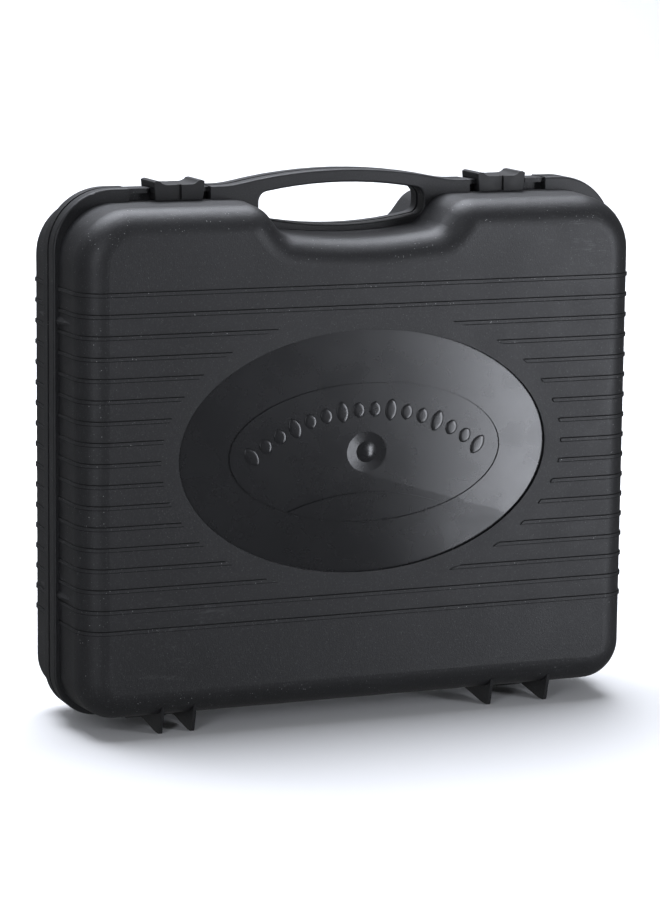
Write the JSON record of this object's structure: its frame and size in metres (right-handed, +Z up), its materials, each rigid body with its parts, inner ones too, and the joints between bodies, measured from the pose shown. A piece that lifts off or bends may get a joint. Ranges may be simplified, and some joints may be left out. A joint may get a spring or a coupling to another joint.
{
  "type": "camping stove",
  "caption": "Single-burner cartridge camping stove packed in its upright hinged carrying case with handle, slide latches and foot fins.",
  "frame": {"origin": "on the floor under the middle of the closed standing case, on the plane where the two halves meet", "axes": "+X to the right seen from the lid side, +Y from the lid to the back of the case, +Z up to the handle"},
  "size_m": [0.3914, 0.1137, 0.3552],
  "materials": {
    "case_plastic": "grained moulded polypropylene with a smooth oval",
    "latch_plastic": "smooth moulded plastic",
    "pin_steel": "drawn wire",
    "body_enamel": "black baked enamel",
    "plate_enamel": "dark stoved enamel",
    "base_steel": "galvanised sheet",
    "cast_black": "black enamelled cast iron",
    "burner_alloy": "die cast",
    "brass": "turned brass",
    "tube_steel": "zinc plated tube",
    "regulator_alloy": "die cast zinc",
    "stem_steel": "turned steel",
    "knob_plastic": "semi gloss phenolic",
    "bezel_print": "satin plate",
    "lever_plastic": "semi gloss phenolic",
    "carriage_steel": "zinc plated sheet",
    "foot_rubber": "soft rubber",
    "screw_steel": "zinc plated",
    "igniter_plastic": "natural moulded plastic",
    "lead_insulation": "silicone insulation",
    "ceramic": "glazed ceramic"
  },
  "bodies": {
    "case_base": {"case_base_shell": "case_plastic", "hinge_pin_left": "pin_steel", "hinge_pin_right": "pin_steel", "stove_housing": "body_enamel", "top_plate": "plate_enamel", "base_plate": "base_steel", "stove_feet": "foot_rubber", "body_screws": "screw_steel", "partition_plate": "base_steel", "pan_support": "cast_black", "burner_body": "burner_alloy", "burner_cap": "brass", "mixing_tube": "tube_steel", "gas_jet": "brass", "gas_regulator": "regulator_alloy", "knob_bezel": "bezel_print", "cartridge_tray": "carriage_steel", "cartridge_cover": "body_enamel", "cover_hinge_pin": "pin_steel", "clamp_spring": "pin_steel", "piezo_igniter": "igniter_plastic", "ignition_lead": "lead_insulation", "spark_electrode": "ceramic"},
    "lid": {"case_lid_shell": "case_plastic"},
    "latch_left": {"latch_slider_left": "latch_plastic"},
    "latch_right": {"latch_slider_right": "latch_plastic"},
    "gas_control": {"valve_stem": "stem_steel", "control_knob": "knob_plastic"},
    "lever": {"cartridge_lever": "lever_plastic"},
    "carriage": {"cartridge_clamp": "carriage_steel"},
    "igniter_trigger": {"igniter_plunger": "igniter_plastic"}
  },
  "joints": [
    {"name": "lid_hinge", "type": "hinge", "parent": "case_base", "child": "lid", "pos_m": [0, 0, 0.0044], "axis": [1, 0, 0], "range_deg": [0, 180]},
    {"name": "latch_left_slide", "type": "slide", "parent": "case_base", "child": "latch_left", "axis": [-1, 0, 0], "range_m": [0, 0.01]},
    {"name": "latch_right_slide", "type": "slide", "parent": "case_base", "child": "latch_right", "axis": [1, 0, 0], "range_m": [0, 0.01]},
    {"name": "control_knob_turn", "type": "hinge", "parent": "case_base", "child": "gas_control", "pos_m": [-0.104, 0.008, 0.29], "axis": [0, 0, 1], "range_deg": [0, 115]},
    {"name": "cartridge_lever_press", "type": "slide", "parent": "case_base", "child": "lever", "axis": [0, 1, 0], "range_m": [0, 0.018]},
    {"name": "cartridge_carriage_slide", "type": "slide", "parent": "case_base", "child": "carriage", "axis": [0, 0, 1], "range_m": [0, 0.008], "deforming": ["clamp_spring"]},
    {"name": "igniter_trigger_press", "type": "slide", "parent": "case_base", "child": "igniter_trigger", "axis": [0, 0, -1], "range_m": [0, 0.005], "stiffness_N_per_m": 400}
  ],
  "couplings": [
    {"joint": "cartridge_carriage_slide", "follows": "cartridge_lever_press", "ratio": 0.44444}
  ]
}
